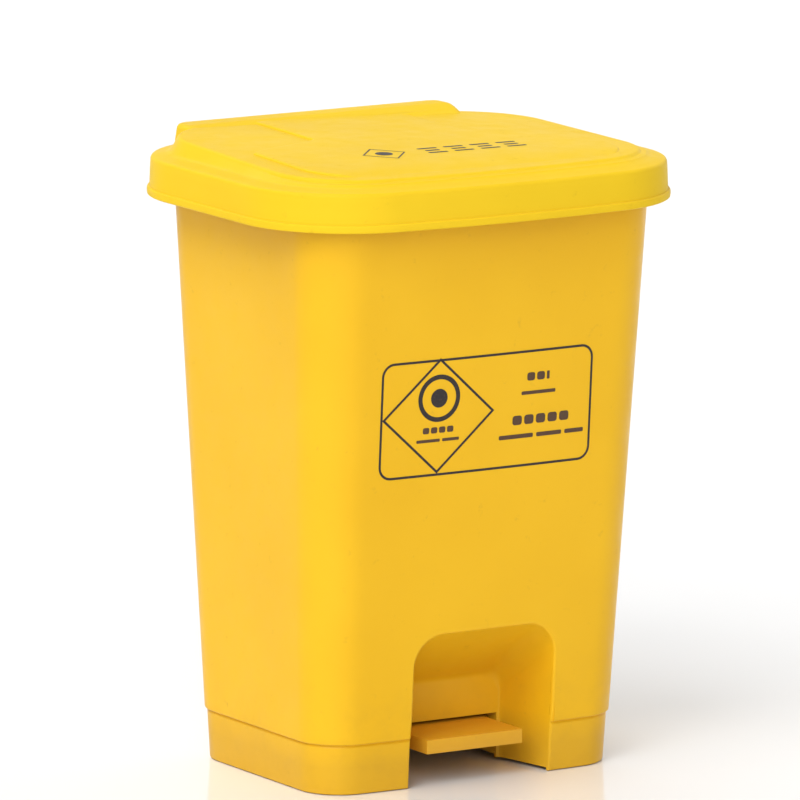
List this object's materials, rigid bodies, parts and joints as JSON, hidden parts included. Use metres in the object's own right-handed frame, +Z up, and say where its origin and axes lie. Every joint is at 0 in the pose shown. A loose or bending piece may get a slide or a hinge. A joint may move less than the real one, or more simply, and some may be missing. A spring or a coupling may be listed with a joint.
{
  "type": "biohazard waste bin",
  "caption": "Tapered plastic pedal bin for laboratory biohazard waste, with a hinged lid, a foot recess, a push rod in a rear groove and a removable liner bucket.",
  "frame": {"origin": "centre of the bounding box's bottom face: the bin stands on z = 0, centred on the lid", "axes": "+Z up, the foot recess faces -Y, the hinge lies towards +Y along X"},
  "size_m": [0.32, 0.268, 0.4265],
  "materials": {
    "body_plastic": "satin moulded polypropylene",
    "lid_plastic": "satin moulded polypropylene",
    "pedal_plastic": "satin moulded polypropylene, worn on the tread",
    "liner_plastic": "fine matt grain",
    "grip_plastic": "matt",
    "guide_plastic": "matt",
    "bail_steel": "zinc plated wire",
    "rod_steel": "zinc plated wire",
    "pin_steel": "zinc plated",
    "cap_steel": "spring steel, plated",
    "screw_steel": "zinc plated"
  },
  "bodies": {
    "bin": {"outer_body": "body_plastic", "inner_bucket": "liner_plastic", "bail_wire": "bail_steel", "bail_grip": "grip_plastic", "hinge_pin_left": "pin_steel", "hinge_pin_right": "pin_steel", "rod_guide_upper": "guide_plastic", "rod_guide_lower": "guide_plastic", "guide_screw_upper_left": "screw_steel", "guide_screw_upper_right": "screw_steel", "guide_screw_lower_left": "screw_steel", "guide_screw_lower_right": "screw_steel", "pedal_axle": "pin_steel", "axle_cap_left": "cap_steel", "axle_cap_right": "cap_steel"},
    "lid": {"lid_shell": "lid_plastic"},
    "rod": {"push_rod": "rod_steel", "rod_cap_top": "cap_steel", "rod_cap_bottom": "cap_steel"},
    "pedal": {"pedal_lever": "pedal_plastic"}
  },
  "joints": [
    {"name": "lid_hinge", "type": "hinge", "parent": "bin", "child": "lid", "pos_m": [0, 0.124, 0.398], "axis": [-1, 0, 0], "range_deg": [0, 74]},
    {"name": "rod_slide", "type": "slide", "parent": "bin", "child": "rod", "axis": [0, 0.0797, 0.9968], "range_m": [0, 0.0223]},
    {"name": "pedal_pivot", "type": "hinge", "parent": "bin", "child": "pedal", "pos_m": [0, -0.022, 0.022], "axis": [1, 0, 0], "range_deg": [0, 12.7]}
  ],
  "couplings": [
    {"joint": "rod_slide", "follows": "lid_hinge", "m_per_rad": 0.01719},
    {"joint": "pedal_pivot", "follows": "lid_hinge", "ratio": 0.1707}
  ]
}
